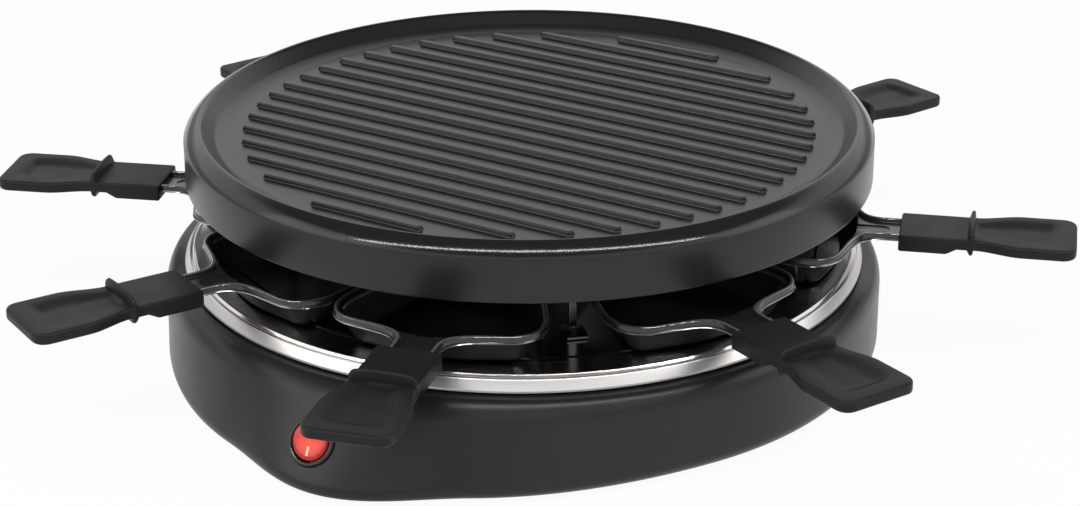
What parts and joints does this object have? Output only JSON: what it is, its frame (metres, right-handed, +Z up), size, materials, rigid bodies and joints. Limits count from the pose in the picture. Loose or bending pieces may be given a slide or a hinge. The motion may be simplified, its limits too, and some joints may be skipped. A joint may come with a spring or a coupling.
{
  "type": "raclette grill",
  "caption": "Round table-top raclette grill: ribbed cast grill plate over an electric element, small pans with flat handles around it, black base with a lit switch.",
  "frame": {"origin": "on the table, straight below the centre of the grill plate", "axes": "+Z up; -Y towards the front; +X to the right seen from the front, so that the switch is at -X -Y"},
  "size_m": [0.4752, 0.4668, 0.105],
  "materials": {
    "plate_coating": "cast aluminium under a satin black non-stick coating",
    "pan_coating": "pressed steel under a glossy black non-stick coating",
    "handle_plastic": "black heat-resistant plastic, fine grain",
    "shell_plastic": "black plastic, satin",
    "cover_plastic": "black plastic, plain moulded",
    "polished_steel": "bright rolled sheet steel",
    "post_steel": "bright strip steel",
    "heater_steel": "heat-darkened tube",
    "ceramic": "unglazed off-white",
    "rubber": "matt black",
    "screw_steel": "zinc plated",
    "bezel_plastic": "black, smooth",
    "rocker_red": "clear red, lit from behind when on",
    "lamp_glass": "clear glow lamp",
    "brass": "plain",
    "block_nylon": "off-white nylon",
    "cutout_case": "brown moulded case",
    "lead_sleeving": "heat-proof sleeving"
  },
  "bodies": {
    "base": {"base_shell": "shell_plastic", "bottom_cover": "cover_plastic", "cover_screw_1": "screw_steel", "cover_screw_2": "screw_steel", "cover_screw_3": "screw_steel", "cover_screw_4": "screw_steel", "foot_1": "rubber", "foot_2": "rubber", "foot_3": "rubber", "foot_4": "rubber", "reflector_tray": "polished_steel", "support_post_1": "post_steel", "support_post_2": "post_steel", "support_post_3": "post_steel", "support_post_4": "post_steel", "post_rivet_1": "screw_steel", "post_rivet_2": "screw_steel", "post_rivet_3": "screw_steel", "post_rivet_4": "screw_steel", "heating_element": "heater_steel", "heater_bush_1": "ceramic", "heater_bush_2": "ceramic", "switch_housing": "bezel_plastic", "switch_lamp": "lamp_glass", "switch_terminal_1": "brass", "switch_terminal_2": "brass", "switch_terminal_3": "brass", "cord_gland": "rubber", "terminal_block": "block_nylon", "thermal_cutout": "cutout_case", "lead_1": "lead_sleeving", "lead_2": "lead_sleeving", "lead_3": "lead_sleeving", "lead_4": "lead_sleeving"},
    "plate": {"grill_plate": "plate_coating"},
    "pan_1_body": {"pan_1": "pan_coating", "pan_handle_1": "handle_plastic"},
    "pan_2_body": {"pan_2": "pan_coating", "pan_handle_2": "handle_plastic"},
    "pan_3_body": {"pan_3": "pan_coating", "pan_handle_3": "handle_plastic"},
    "pan_4_body": {"pan_4": "pan_coating", "pan_handle_4": "handle_plastic"},
    "pan_5_body": {"pan_5": "pan_coating", "pan_handle_5": "handle_plastic"},
    "pan_6_body": {"pan_6": "pan_coating", "pan_handle_6": "handle_plastic"},
    "pan_7_body": {"pan_7": "pan_coating", "pan_handle_7": "handle_plastic"},
    "pan_8_body": {"pan_8": "pan_coating", "pan_handle_8": "handle_plastic"},
    "rocker": {"switch_rocker": "rocker_red"}
  },
  "joints": [
    {"name": "plate_lift", "type": "slide", "parent": "base", "child": "plate", "axis": [0, 0, 1], "range_m": [0, 0.06]},
    {"name": "pan_1_slide", "type": "slide", "parent": "base", "child": "pan_1_body", "axis": [-0.289, -0.9573, 0], "range_m": [0, 0.11]},
    {"name": "pan_2_slide", "type": "slide", "parent": "base", "child": "pan_2_body", "axis": [-0.8462, -0.5329, 0], "range_m": [0, 0.11]},
    {"name": "pan_3_slide", "type": "slide", "parent": "base", "child": "pan_3_body", "axis": [-0.9848, 0.1736, 0], "range_m": [0, 0.11]},
    {"name": "pan_4_slide", "type": "slide", "parent": "base", "child": "pan_4_body", "axis": [-0.6018, 0.7986, 0], "range_m": [0, 0.11]},
    {"name": "pan_5_slide", "type": "slide", "parent": "base", "child": "pan_5_body", "axis": [0.1908, 0.9816, 0], "range_m": [0, 0.11]},
    {"name": "pan_6_slide", "type": "slide", "parent": "base", "child": "pan_6_body", "axis": [0.7986, 0.6018, 0], "range_m": [0, 0.11]},
    {"name": "pan_7_slide", "type": "slide", "parent": "base", "child": "pan_7_body", "axis": [0.9806, -0.1959, 0], "range_m": [0, 0.11]},
    {"name": "pan_8_slide", "type": "slide", "parent": "base", "child": "pan_8_body", "axis": [0.5577, -0.83, 0], "range_m": [0, 0.11]},
    {"name": "rocker_hinge", "type": "hinge", "parent": "base", "child": "rocker", "pos_m": [-0.08439, -0.14916, 0.02138], "axis": [0.8704, -0.4924, 0], "range_deg": [-14, 0]}
  ]
}
